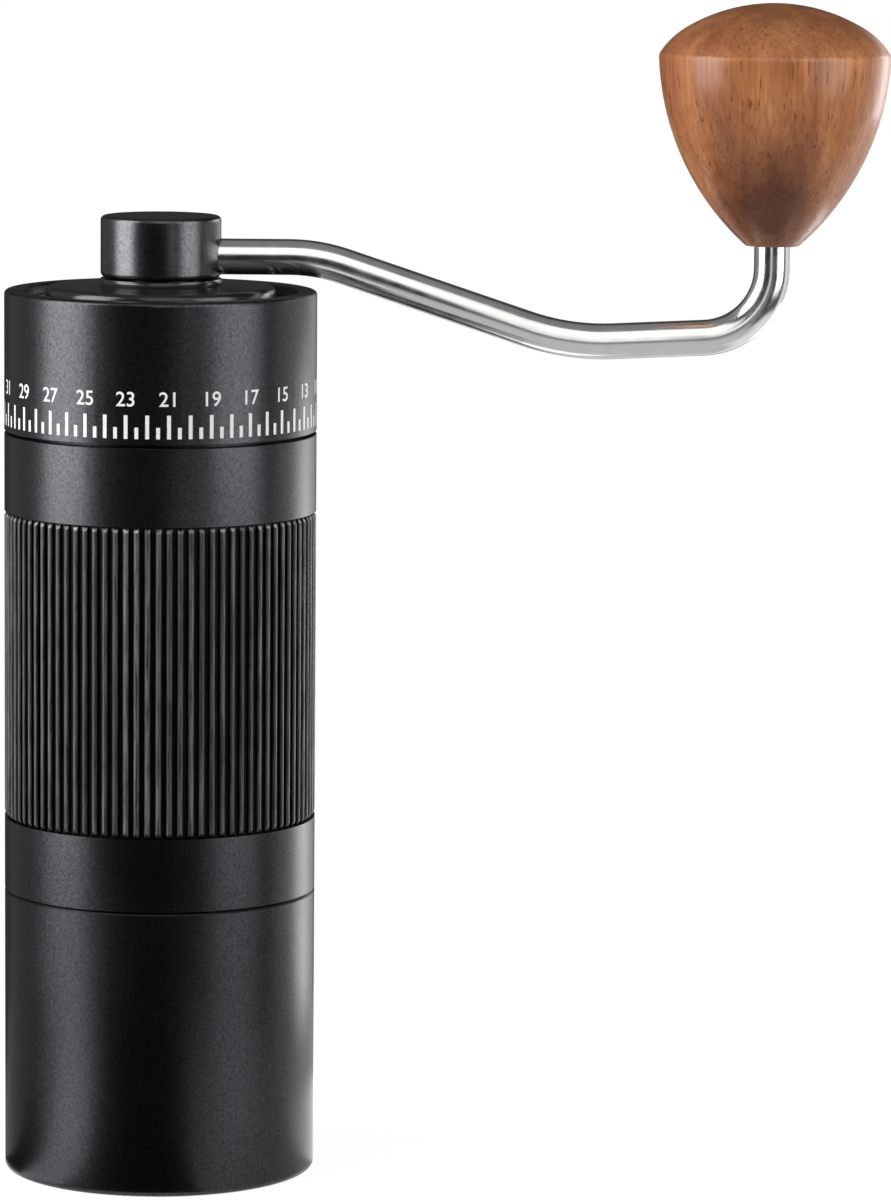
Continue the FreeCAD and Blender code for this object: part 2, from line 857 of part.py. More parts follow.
def make_bearing(prefix, low):
    """Two grooved races and a ring of balls."""
    high = low + d.bearing_width
    middle = low + d.bearing_width / 2
    groove = raceway_half_width()
    turned(
        f"{prefix}_outer_race",
        [
            (d.bearing_outer_radius, low),
            (d.bearing_outer_radius, high),
            (d.outer_race_radius, high),
            (d.outer_race_radius, middle + groove),
            (d.outer_race_radius, middle - groove, -d.raceway_radius),
            (d.outer_race_radius, low),
        ],
    )
    turned(
        f"{prefix}_inner_race",
        [
            (d.bearing_inner_radius, low),
            (d.inner_race_radius, low),
            (d.inner_race_radius, middle - groove),
            (d.inner_race_radius, middle + groove, -d.raceway_radius),
            (d.inner_race_radius, high),
            (d.bearing_inner_radius, high),
        ],
    )
    balls = []
    for place in range(int(d.ball_count.value)):
        angle = as_size(FULL_TURN * place) / d.ball_count
        ball = doc.addObject("Part::Sphere", f"{prefix}_ball_{place}")
        bind(ball, "Radius", d.ball_radius)
        bind(ball, "Placement.Base.x", d.ball_circle * angle.cos())
        bind(ball, "Placement.Base.y", d.ball_circle * angle.sin())
        bind(ball, "Placement.Base.z", middle)
        balls.append(ball)
    keep(doc.addObject("Part::Compound", f"{prefix}_balls")).Links = balls


def raceway_half_width():
    """Half the width of the groove that the raceway's circle cuts in a race."""
    offset = d.outer_race_radius - d.ball_circle
    value = math.sqrt(d.raceway_radius.value**2 - offset.value**2)
    return Size(value, f"sqrt({d.raceway_radius.text} ^ 2 - {offset.text} ^ 2)")


# Grind dial


def make_dial():
    groove_high = d.snap_low + d.snap_thickness + d.clip_play
    groove_low = d.snap_low - d.clip_play
    groove = d.snap_outer_radius + 2 * d.clip_play
    body = turned(
        "dial_ring",
        [
            (d.dial_bore_radius, d.dial_low),
            (d.body_radius - d.edge_break, d.dial_low),
            (d.body_radius, d.dial_low + d.edge_break),
            (d.body_radius, d.dial_high - d.dial_edge_round),
            (d.body_radius - d.dial_edge_round, d.dial_high, d.dial_edge_round),
            (d.dial_lip_radius + d.seam_bevel, d.dial_high),
            (d.dial_lip_radius, d.dial_high - d.seam_bevel),
            (d.dial_lip_radius, d.dial_lip_low),
            (d.dial_thread_radius, d.dial_lip_low),
            (d.dial_thread_radius, d.dial_thread_low),
            (d.dial_bore_radius, d.dial_thread_low),
            (d.dial_bore_radius, groove_high),
            (groove, groove_high),
            (groove, groove_low),
            (d.dial_bore_radius, groove_low),
        ],
    )
    mark_low = d.dial_low + d.mark_rise
    unit = FULL_TURN / d.unit_count
    for name, length, turn in (
        ("long_mark", d.long_mark, d.zero_angle),
        ("short_mark", d.short_mark, d.zero_angle - unit / 2),
    ):
        sketch = new_sketch(body, f"{name}_outline", "XY_Plane", mark_low, turn)
        draw(sketch, box_outline(d.body_radius - d.mark_depth, d.body_radius + OVERSHOOT, d.mark_width))
        repeated(body, raised(body, "Pocket", f"{name}_recess", sketch, length), d.unit_count)
    notch = primitive(
        body,
        "SubtractiveCylinder",
        "detent_notch",
        (d.dial_bore_radius - OVERSHOOT, 0, d.dial_low - d.notch_radius + d.notch_depth),
        along_x=True,
        Radius=d.notch_radius,
        Height=d.notch_end_radius - d.dial_bore_radius + OVERSHOOT,
    )
    repeated(body, notch, 2 * d.unit_count)
    make_dial_marks(body, mark_low)


def make_dial_marks(dial, mark_low):
    """Paint that fills the engraved marks: a band of paint less the dial itself."""
    low, high = mark_low - d.mark_depth, mark_low + d.long_mark + d.mark_depth
    band = without(
        "paint_band",
        cylinder("paint_outside", d.body_radius - d.mark_sunk, low, high),
        cylinder("paint_inside", d.body_radius - 2 * d.mark_depth, low, high),
    )
    keep(without("dial_marks", band, dial))


# Bearing carriage


def make_carriage():
    body = turned(
        "bearing_carriage",
        [
            (d.bearing_lip_radius, d.carriage_low),
            (d.carriage_radius, d.carriage_low),
            (d.carriage_radius, d.carriage_high),
            (d.carriage_ring_radius, d.carriage_high),
            (d.carriage_ring_radius, d.carriage_web_high),
            (d.carriage_hub_radius, d.carriage_web_high),
            (d.carriage_hub_radius, d.carriage_high),
            (d.bearing_outer_radius, d.carriage_high),
            (d.bearing_outer_radius, d.upper_bearing_low),
            (d.bearing_lip_radius, d.upper_bearing_low),
        ],
    )
    arms_cut(
        body,
        "carriage_window",
        d.carriage_hub_radius,
        d.carriage_ring_radius,
        d.carriage_low,
        d.carriage_web_high,
    )
    sketch = new_sketch(body, "key_outline", "XY_Plane", d.key_low)
    draw(sketch, box_outline(d.key_inner, d.key_outer, d.key_width))
    key = raised(body, "Pad", "key", sketch, d.carriage_web_high - d.key_low)
    repeated(body, key, d.arm_count)


# Burrs


def outer_burr_slope():
    """Radius gained for each millimetre down the fine part of the outer burr."""
    return (d.burr_exit_radius - d.burr_waist_radius) / (d.burr_waist_level - d.outer_burr_low)


def make_outer_burr():
    body = turned(
        "outer_burr",
        [
            (d.burr_exit_radius, d.outer_burr_low),
            (d.outer_burr_radius, d.outer_burr_low),
            (d.outer_burr_radius, d.outer_burr_high),
            (d.burr_entry_radius, d.outer_burr_high),
            (d.burr_waist_radius, d.burr_waist_level),
        ],
    )
    slanted_flutes(
        body,
        "feed_flute",
        (d.burr_waist_radius, d.burr_waist_level, d.feed_flute_depth),
        (d.burr_entry_radius, d.outer_burr_high, d.feed_flute_depth),
        d.feed_flute_count,
        d.crusher_twist,
        d.feed_flute_half_angle,
        outward=True,
    )
    slanted_flutes(
        body,
        "outer_tooth",
        (d.burr_exit_radius, d.outer_burr_low, d.tooth_depth),
        (d.burr_waist_radius, d.burr_waist_level, d.tooth_depth),
        d.tooth_count,
        d.tooth_twist,
        d.tooth_half_angle,
        outward=True,
    )


def make_inner_burr():
    skirt = d.outer_burr_low - d.inner_burr_low
    foot = d.burr_exit_radius - d.burr_clearance + outer_burr_slope() * skirt
    waist = d.burr_waist_radius - d.burr_clearance
    bore = d.bolt_hole_radius
    body = turned(
        "inner_burr",
        [
            (bore, d.inner_burr_low),
            (foot, d.inner_burr_low),
            (waist, d.burr_waist_level),
            (d.inner_burr_top_radius, d.inner_burr_high),
            (bore, d.inner_burr_high),
        ],
    )
    hexagon(
        body,
        "SubtractivePrism",
        "burr_socket",
        d.shaft_thread_high,
        d.inner_burr_high + OVERSHOOT,
        d.burr_hex_radius + d.hex_play,
    )
    slanted_flutes(
        body,
        "crusher_flute",
        (waist, d.burr_waist_level, d.crusher_depth),
        (d.inner_burr_top_radius, d.inner_burr_high, d.crusher_head_depth),
        d.crusher_count,
        d.crusher_twist,
        d.crusher_half_angle,
    )
    slanted_flutes(
        body,
        "inner_tooth",
        (foot, d.inner_burr_low, d.tooth_depth),
        (waist, d.burr_waist_level, d.tooth_depth),
        d.tooth_count,
        d.tooth_twist,
        d.tooth_half_angle,
    )


# Main shaft


def make_shaft():
    clip_high = d.shaft_clip_low + d.clip_thickness
    body = turned(
        "main_shaft",
        [
            (0, d.shaft_low),
            (d.shaft_thread_radius - d.seam_bevel, d.shaft_low),
            (d.shaft_thread_radius, d.shaft_low + d.seam_bevel),
            (d.shaft_thread_radius, d.inner_burr_high),
            (d.shaft_radius, d.inner_burr_high),
            (d.shaft_radius, d.collar_low),
            (d.collar_radius, d.collar_low),
            (d.collar_radius, d.upper_bearing_low),
            (d.shaft_radius, d.upper_bearing_low),
            (d.shaft_radius, d.shaft_clip_low),
            (d.shaft_groove_radius, d.shaft_clip_low),
            (d.shaft_groove_radius, clip_high),
            (d.shaft_radius, clip_high),
            (d.shaft_radius, d.drive_hex_low),
            (d.drive_core_radius, d.drive_hex_low),
            (d.drive_core_radius, d.shaft_high),
            (0, d.shaft_high),
        ],
    )
    hexagon(body, "AdditivePrism", "burr_drive", d.shaft_thread_high, d.inner_burr_high, d.burr_hex_radius)
    hexagon(body, "AdditivePrism", "crank_drive", d.drive_hex_low, d.shaft_high, d.drive_hex_radius)
    split_ring(
        "shaft_circlip",
        d.shaft_clip_inner_radius,
        d.shaft_clip_outer_radius,
        d.shaft_clip_low,
        d.clip_thickness,
        d.clip_gap,
    )


def make_burr_fixings():
    washer_low = d.inner_burr_low - d.washer_thickness
    washer("burr_washer", d.bolt_hole_radius, d.washer_radius, washer_low, d.washer_thickness)
    nut_low = washer_low - d.nut_height
    blank = doc.addObject("Part::Prism", "nut_blank")
    blank.Polygon = HEXAGON
    bind(blank, "Circumradius", d.nut_radius)
    bind(blank, "Height", d.nut_height)
    bind(blank, "Placement.Base.z", nut_low)
    thread = cylinder("nut_thread", d.bolt_hole_radius, nut_low, washer_low)
    keep(without("burr_nut", blank, thread))
    coil_spring(
        "burr_spring",
        d.spring_radius,
        d.spring_wire_radius,
        d.spring_low,
        d.spring_high,
        d.spring_turns,
    )


# Crank: hub, arm and knob


def make_crank_hub():
    clip_high = d.lid_clip_low + d.clip_thickness
    body = turned(
        "crank_hub",
        [
            (0, d.skirt_low),
            (d.skirt_radius - d.seam_bevel, d.skirt_low),
            (d.skirt_radius, d.skirt_low + d.seam_bevel),
            (d.skirt_radius, d.lid_clip_low),
            (d.lid_groove_radius, d.lid_clip_low),
            (d.lid_groove_radius, clip_high),
            (d.skirt_radius, clip_high),
            (d.skirt_radius, d.hub_low),
            (d.hub_radius - d.hub_foot_round, d.hub_low),
            (d.hub_radius, d.hub_low + d.hub_foot_round, d.hub_foot_round),
            (d.hub_radius, d.hub_high - d.hub_top_round),
            (d.hub_radius - d.hub_top_round, d.hub_high, d.hub_top_round),
            (0, d.hub_high),
        ],
    )
    hexagon(
        body, "SubtractivePrism", "drive_socket", d.skirt_low - OVERSHOOT, d.socket_high, d.socket_radius
    )
    primitive(
        body,
        "SubtractiveCylinder",
        "arm_socket",
        (d.arm_socket_start, 0, d.arm_level),
        along_x=True,
        Radius=d.rod_radius,
        Height=d.hub_radius - d.arm_socket_start + OVERSHOOT,
    )
    split_ring(
        "lid_circlip",
        d.lid_clip_inner_radius,
        d.lid_clip_outer_radius,
        d.lid_clip_low,
        d.clip_thickness,
        d.clip_gap,
    )


def arm_corners():
    """The corners of the rod's centre line before it is bent, as (x, z)."""
    slope, rise = math.radians(d.arm_slope.value), math.radians(d.arm_rise.value)
    first = Vector(d.arm_corner.value, d.arm_level.value, 0)
    run = d.arm_second_corner.value - first.x
    second = first + Vector(run, -run * math.tan(slope), 0)
    run = d.arm_reach.value - second.x
    elbow = second + Vector(run, run * math.tan(rise), 0)
    start = Vector(d.arm_start.value, first.y, 0)
    end = Vector(elbow.x, d.shoulder_level.value, 0)
    return [start, first, second, elbow, end]


def draw_arm_line(sketch):
    """Four straight runs and three tangent bends, held by corners, slopes and bend radii."""
    corners = arm_corners()
    bends = (d.arm_bend, d.arm_second_bend, d.elbow_bend)
    last = corners[0]
    lines, arcs = [], []
    for before, corner, after, bend in zip(corners, corners[1:], corners[2:], bends):
        way_in, way_out = (corner - before).normalize(), (after - corner).normalize()
        reach = bend.value * math.tan(way_in.getAngle(way_out) / 2)
        start, end = corner - way_in * reach, corner + way_out * reach
        lines.append(sketch.addGeometry(Part.LineSegment(last, start)))
        left = way_in.cross(way_out).z > 0
        arc = arc_through(start, end, math.copysign(bend.value, 1 if left else -1))
        arcs.append((sketch.addGeometry(arc), (1, 2) if left else (2, 1)))
        last = end
    lines.append(sketch.addGeometry(Part.LineSegment(last, corners[-1])))
    for index, (arc, (first, second)) in enumerate(arcs):
        sketch.addConstraint(Sketcher.Constraint("Tangent", lines[index], 2, arc, first))
        sketch.addConstraint(Sketcher.Constraint("Tangent", arc, second, lines[index + 1], 1))
        hold_radius(sketch, arc, bends[index])
    hold(sketch, lines[0], 1, d.arm_start, d.arm_level)
    sketch.addConstraint(Sketcher.Constraint("Horizontal", lines[0]))
    sketch.addConstraint(Sketcher.Constraint("Vertical", lines[3]))
    hold(sketch, lines[3], 2, d.arm_reach, d.shoulder_level)
    for line, angle in ((lines[1], -d.arm_slope), (lines[2], d.arm_rise)):
        index = sketch.addConstraint(Sketcher.Constraint("Angle", line, math.radians(angle.value)))
        sketch.setExpression(f"Constraints[{index}]", f"{angle.text} * 1deg")
    for index, place in ((0, d.arm_corner), (1, d.arm_second_corner)):
        mark = sketch.addGeometry(Part.Point(corners[index + 1]), True)
        for line in lines[index : index + 2]:
            sketch.addConstraint(Sketcher.Constraint("PointOnObject", mark, 1, line))
        number = sketch.addConstraint(Sketcher.Constraint("DistanceX", mark, 1, place.value))
        bind(sketch, f"Constraints[{number}]", place)
    return sketch


def make_crank_arm():
    body = new_body("crank_arm")
    line = draw_arm_line(new_sketch(body, "arm_line", "XZ_Plane"))
    section = new_sketch(body, "rod_section", "YZ_Plane", d.arm_start)
    draw_circle(section, 0, d.arm_level, d.rod_radius)
    rod = body.newObject("PartDesign::AdditivePipe", "rod")
    rod.Profile = section
    rod.Spine = line
    groove_high = d.knob_clip_low + d.clip_thickness
    spindle = new_sketch(body, "spindle_outline", "XZ_Plane")
    axis = d.arm_reach
    draw(
        spindle,
        [
            (axis, d.shoulder_level - OVERSHOOT),
            (axis + d.spindle_radius, d.shoulder_level - OVERSHOOT),
            (axis + d.spindle_radius, d.knob_clip_low),
            (axis + d.spindle_groove_radius, d.knob_clip_low),
            (axis + d.spindle_groove_radius, groove_high),
            (axis + d.spindle_radius, groove_high),
            (axis + d.spindle_radius, d.spindle_high),
            (axis, d.spindle_high),
        ],
    )
    centre = sketch_centre_line(spindle, axis, d.shoulder_level, d.spindle_high)
    turning = body.newObject("PartDesign::Revolution", "spindle")
    turning.Profile = spindle
    turning.ReferenceAxis = (spindle, [centre])
    turning.Angle = FULL_TURN


def sketch_centre_line(sketch, x, low, high):
    """Adds an upright construction line and returns its name as an axis of the sketch."""
    ends = [Vector(x.value, low.value, 0), Vector(x.value, high.value, 0)]
    shape = sketch.addGeometry(Part.LineSegment(*ends), True)
    hold(sketch, shape, 1, x, low)
    hold(sketch, shape, 2, x, high)
    return "Axis0"


def make_knob():
    foot = d.knob_low
    body = turned(
        "knob",
        [
            (0, d.knob_bore_high),
            (d.knob_bore_radius, d.knob_bore_high),
            (d.knob_bore_radius, foot),
            (d.knob_foot_radius, foot),
            (d.knob_radius, d.knob_ridge_level, d.knob_side_bend),
            (d.knob_shoulder_radius, d.knob_shoulder_level, d.knob_shoulder_bend),
            (0, d.knob_high, d.knob_dome_bend),
        ],
    )
    rounded(body, "knob_ridge", d.knob_ridge_round, (d.knob_radius, d.knob_ridge_level))
    rounded(body, "knob_foot", d.knob_foot_round, (d.knob_foot_radius, foot))
    stand_at_knob(body)
    bushing = washer(
        "knob_bushing",
        d.bushing_bore_radius,
        d.knob_bore_radius,
        d.bushing_low,
        d.bushing_high - d.bushing_low,
    )
    stand_at_knob(bushing)
    thrust = washer(
        "knob_washer", d.bushing_bore_radius, d.knob_washer_radius, d.shoulder_level, d.knob_washer_thickness
    )
    stand_at_knob(thrust)
    clip = split_ring(
        "knob_circlip",
        d.knob_clip_inner_radius,
        d.knob_clip_outer_radius,
        d.knob_clip_low,
        d.clip_thickness,
        d.knob_clip_gap,
    )
    stand_at_knob(clip)


# Hopper lid


def make_lid():
    groove_low = d.gasket_level - d.gasket_groove_width / 2
    groove_high = d.gasket_level + d.gasket_groove_width / 2
    body = turned(
        "hopper_lid",
        [
            (d.lid_plug_inner_radius, d.lid_plug_low),
            (d.lid_plug_radius - d.lid_plug_bevel, d.lid_plug_low),
            (d.lid_plug_radius, d.lid_plug_low + d.lid_plug_bevel),
            (d.lid_plug_radius, groove_low),
            (d.gasket_groove_radius, groove_low),
            (d.gasket_groove_radius, groove_high),
            (d.lid_plug_radius, groove_high),
            (d.lid_plug_radius, d.lid_flange_low),
            (d.lid_flange_radius, d.lid_flange_low),
            (d.lid_flange_radius, d.lid_flange_high - d.lid_plug_bevel),
            (d.lid_flange_radius - d.lid_plug_bevel, d.lid_flange_high),
            (d.lid_plateau_foot_radius, d.lid_flange_high),
            (d.lid_plateau_radius, d.lid_plateau_high),
            (d.lid_crown_radius, d.lid_crown_high),
            (d.lid_collar_radius, d.lid_collar_high, -d.lid_collar_bend),
            (d.lid_hole_radius, d.lid_collar_high),
            (d.lid_hole_radius, d.lid_web_low),
            (d.lid_web_radius, d.lid_web_low),
            (d.lid_plug_inner_radius, d.lid_vault_low),
        ],
    )
    rounded(
        body,
        "lid_steps",
        d.lid_step_round,
        (d.lid_plateau_foot_radius, d.lid_flange_high),
        (d.lid_plateau_radius, d.lid_plateau_high),
    )
    seal_ring("lid_gasket", d.gasket_ring_radius, d.gasket_wire_radius, d.gasket_level)


def make_dial_snap_ring():
    split_ring(
        "dial_snap_ring",
        d.snap_inner_radius,
        d.snap_outer_radius,
        d.snap_low,
        d.snap_thickness,
        d.snap_gap,
    )


# Checks and files


def check_document():
    """Stops if anything failed to build, or a cut took nothing away."""
    for item in doc.Objects:
        assert not {"Invalid", "Error"} & set(item.State), f"{item.Label} is {item.State}"
        base = getattr(item, "BaseFeature", None)
        cuts = any(kind in item.TypeId for kind in ("Pocket", "Groove", "Subtractive"))
        if base is not None and cuts:
            assert item.Shape.Volume < base.Shape.Volume - 1e-6, f"{item.Label} cuts nothing"
    for item in subparts:
        shape = item.Shape
        assert not shape.isNull() and shape.isValid() and shape.Solids, f"{item.Label} is not a solid"


def write_parts():
    os.makedirs("parts", exist_ok=True)
    for item in subparts:
        item.Shape.exportStep(os.path.join("parts", f"{item.Label}.step"))
        solids = len(item.Shape.Solids)
        print(f"{item.Label}: {solids} solid(s), {item.Shape.Volume / 1000:.3f} cm3")


make_catch_cup()
make_barrel()
seal_ring("cup_seal", d.seal_ring_radius, d.seal_wire_radius, d.seal_level)
make_grip_sleeve()
make_outer_burr()
make_spider()
make_spider_screws()
make_dial_snap_ring()
make_detent()
make_dial()
make_carriage()
make_bearing("upper_bearing", d.upper_bearing_low)
make_bearing("lower_bearing", d.lower_bearing_low)
make_shaft()
make_inner_burr()
make_burr_fixings()
make_crank_hub()
make_crank_arm()
make_knob()
make_lid()
doc.recompute()
check_document()
write_parts()
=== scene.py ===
# %% [markdown]
# A hand crank coffee grinder: a slim black body with a ribbed grip and a numbered dial, a bent steel crank
# and a turned wooden knob. The pieces come measured and placed from the imported model, so this lesson is
# about finishes, light and the few things that are easier to draw than to engineer.
# The imported model is loaded first and nothing in it is moved.

# %% Load the measured grinder
import math

import bpy
from mathutils import Euler, Matrix, Vector


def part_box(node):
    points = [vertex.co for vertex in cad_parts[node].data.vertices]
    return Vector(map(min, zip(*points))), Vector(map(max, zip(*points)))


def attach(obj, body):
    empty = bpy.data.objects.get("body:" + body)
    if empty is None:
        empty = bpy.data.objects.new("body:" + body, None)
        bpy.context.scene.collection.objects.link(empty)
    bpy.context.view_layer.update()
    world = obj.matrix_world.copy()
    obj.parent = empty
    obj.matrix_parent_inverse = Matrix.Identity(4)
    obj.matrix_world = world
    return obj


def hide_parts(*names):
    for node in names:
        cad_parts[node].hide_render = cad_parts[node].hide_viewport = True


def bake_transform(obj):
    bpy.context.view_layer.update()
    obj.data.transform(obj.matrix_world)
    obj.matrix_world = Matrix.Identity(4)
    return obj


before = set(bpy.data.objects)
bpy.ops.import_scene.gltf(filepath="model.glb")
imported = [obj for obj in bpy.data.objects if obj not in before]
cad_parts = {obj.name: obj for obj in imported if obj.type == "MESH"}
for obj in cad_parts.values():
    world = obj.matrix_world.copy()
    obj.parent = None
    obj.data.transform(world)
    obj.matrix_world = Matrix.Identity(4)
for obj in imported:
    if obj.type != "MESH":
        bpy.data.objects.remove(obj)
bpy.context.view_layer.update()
scene = bpy.context.scene
scene.view_settings.view_transform = "Standard"
MM = 0.001

# %% [markdown]
# The camera stands a little higher than the knob, about a metre off, with a long lens, as for a catalogue
# picture. A short lens close by would do too, but it makes a round body bulge. The picture is taller than
# wide, so the 36 mm side of the sensor lies along its 1200 pixels, and a focal length in pixels turns into
# millimetres by that ratio.

# %% Camera
PICTURE_HIGH = 1200
SENSOR_LONG_SIDE = 36.0
FOCAL_PIXELS = 6194.0
CAMERA_AT = Vector((50.45, -1085.92, 248.52)) * MM
LOOK_DOWN = math.radians(7.679)
ROLL = math.radians(0.462)
NEAREST = 0.05
FARTHEST = 20.0

camera_data = bpy.data.cameras.new("camera")
camera_data.sensor_width = SENSOR_LONG_SIDE
camera_data.lens = FOCAL_PIXELS / PICTURE_HIGH * SENSOR_LONG_SIDE
camera_data.clip_start = NEAREST
camera_data.clip_end = FARTHEST
camera = bpy.data.objects.new("camera", camera_data)
level_view = Euler((math.pi / 2 - LOOK_DOWN, 0, 0)).to_matrix()
camera.matrix_world = Matrix.Translation(CAMERA_AT) @ (level_view @ Matrix.Rotation(ROLL, 3, "Z")).to_4x4()
scene.collection.objects.link(camera)
scene.camera = camera
print("camera lens in mm:", round(camera_data.lens, 1))

# %% [markdown]
# A finish is a node tree around one Principled shader. Every finish here starts from where a point lies on
# its own piece (object coordinates, in metres), so the pattern sticks to the piece when it turns and has a
# real size: a noise of scale 2000 has grains of about half a millimetre. A number that is the same all over
# goes straight on the shader's socket, and only what varies is wired. Nearly all of a noise lies between
# 0.3 and 0.7, so most patterns begin and end there.

# %% A plain finish, and a noise for it
def start_finish(name, colour, roughness, metallic=0.0, specular=0.5):
    """A material with one Principled shader, and its tree, shader and object coordinates."""
    material = bpy.data.materials.new(name)
    material.use_nodes = True
    tree = material.node_tree
    shader = tree.nodes["Principled BSDF"]
    shader.inputs["Base Color"].default_value = (*colour, 1)
    shader.inputs["Roughness"].default_value = roughness
    shader.inputs["Metallic"].default_value = metallic
    shader.inputs["Specular IOR Level"].default_value = specular
    place = tree.nodes.new("ShaderNodeTexCoord").outputs["Object"]
    return material, tree, shader, place


def noise(tree, place, scale, detail=2.0, roughness=0.5, distortion=0.0):
    """A cloudy value from 0 to 1. Its grains are about 1 / scale of a metre."""
    node = tree.nodes.new("ShaderNodeTexNoise")
    node.inputs["Scale"].default_value = scale
    node.inputs["Detail"].default_value = detail
    node.inputs["Roughness"].default_value = roughness
    node.inputs["Distortion"].default_value = distortion
    tree.links.new(place, node.inputs["Vector"])
    return node.outputs["Fac"]


print("a finish can be started, and have a noise")

# %% From a noise to a value, a colour or a bump
NOISE_LOW = 0.3
NOISE_HIGH = 0.7


def spread(tree, value, low, high, to_low, to_high):
    """A value between low and high, carried over to between to_low and to_high, and no further."""
    node = tree.nodes.new("ShaderNodeMapRange")
    node.inputs["From Min"].default_value = low
    node.inputs["From Max"].default_value = high
    node.inputs["To Min"].default_value = to_low
    node.inputs["To Max"].default_value = to_high
    tree.links.new(value, node.inputs["Value"])
    return node.outputs["Result"]


def tinted(tree, value, *stops):
    """A colour for a value: stops are pairs of a place from 0 to 1 and a colour."""
    node = tree.nodes.new("ShaderNodeValToRGB")
    ramp = node.color_ramp
    while len(ramp.elements) < len(stops):
        ramp.elements.new(0.5)
    for element, (at, colour) in zip(ramp.elements, stops):
        element.position = at
        element.color = (*colour, 1)
    tree.links.new(value, node.inputs["Fac"])
    return node.outputs["Color"]


def bumped(tree, shader, height, depth_mm):
    """Lets a height pattern tilt the surface. Depth is how far its white stands above its black."""
    node = tree.nodes.new("ShaderNodeBump")
    node.inputs["Strength"].default_value = 1.0
    node.inputs["Distance"].default_value = depth_mm * MM
    tree.links.new(height, node.inputs["Height"])
    tree.links.new(node.outputs["Normal"], shader.inputs["Normal"])


print("patterns run from a noise of", NOISE_LOW, "to", NOISE_HIGH)

# %% [markdown]
# The body, dial, cup and hub are black anodised aluminium, bead blasted before dyeing. It is a metal that
# gives back only a few hundredths of the light, a little more of the blue, in wide soft bands, with a fine
# grain that shows where the light is. It could be made as a black paint, but a paint keeps a grey of its
# own between the bands, and a dark metal has only the bands. Middling roughness makes them wide, and a
# grain of about half a millimetre goes into the tone and the bump.

# %% Black anodised aluminium
def black_anodised(name, tone, roughness, grain_depth):
    """Tone is the share of light that the metal gives back when it is seen straight on."""
    material, tree, shader, place = start_finish(name, (tone, tone, tone), roughness, metallic=1.0)
    grain = noise(tree, place, 2100.0, detail=3.0, roughness=0.6)
    cloud = noise(tree, place, 45.0)
    dark = (0.66 * tone, 0.65 * tone, 0.72 * tone)
    light = (1.32 * tone, 1.30 * tone, 1.44 * tone)
    speckled = tinted(tree, grain, (NOISE_LOW, dark), (NOISE_HIGH, light))
    uneven = spread(tree, cloud, NOISE_LOW, NOISE_HIGH, roughness - 0.02, roughness + 0.02)
    tree.links.new(speckled, shader.inputs["Base Color"])
    tree.links.new(uneven, shader.inputs["Roughness"])
    bumped(tree, shader, grain, grain_depth)
    return material


body_black = black_anodised("body_black", 0.046, 0.31, 0.012)
hub_black = black_anodised("hub_black", 0.075, 0.29, 0.008)
print("made", body_black.name, "and", hub_black.name)

# %% [markdown]
# The grip sleeve is black rubber with upright ribs, moulded with a coarse fibrous skin. The ribs could be a
# bump in the finish, but they show along the sleeve's edges, so they are real shape, and only the skin is
# made here. It is a noise drawn out along the ribs, and a longer, slower noise makes one rib greyer than
# the next. The tone also follows how far out and how high a point lies: it falls to a twentieth in the
# grooves, as painted shade, and rises ninefold at the ribs' upper ends, as a painted highlight. Gloss and
# sheen fall towards the grooves too. Sheen is the pale edge that fibres show at a glance.

# %% Places, distances and layers
def stretched(tree, place, scale):
    """The same coordinates with each axis scaled, to draw a pattern out along one of them."""
    mapping = tree.nodes.new("ShaderNodeMapping")
    mapping.inputs["Scale"].default_value = scale
    tree.links.new(place, mapping.inputs["Vector"])
    return mapping.outputs["Vector"]


def along_z(tree, vector):
    """The upright share of a place, in metres, or of a direction."""
    node = tree.nodes.new("ShaderNodeSeparateXYZ")
    tree.links.new(vector, node.inputs["Vector"])
    return node.outputs["Z"]


def away_from(tree, place, spot):
    """How far a point lies from a spot, in metres."""
    node = tree.nodes.new("ShaderNodeVectorMath")
    node.operation = "DISTANCE"
    node.inputs[1].default_value = spot
    tree.links.new(place, node.inputs[0])
    return node.outputs["Value"]


def multiplied(tree, colour, other):
    """One colour seen through another, or dimmed by a value."""
    node = tree.nodes.new("ShaderNodeMix")
    node.data_type = "RGBA"
    node.blend_type = "MULTIPLY"
    node.inputs["Factor"].default_value = 1.0
    tree.links.new(colour, node.inputs["A"])
    tree.links.new(other, node.inputs["B"])
    return node.outputs["Result"]


print("a pattern can be stretched, follow a height or a distance, and lie over another")

# %% Ribbed rubber
GROOVE_RADIUS = 27.05 * MM
CREST_RADIUS = 27.45 * MM
# Between these heights the ribs' upper ends get a painted highlight.
PAINTED_GLINT_FROM = 116.8 * MM
PAINTED_GLINT_TO = 117.3 * MM


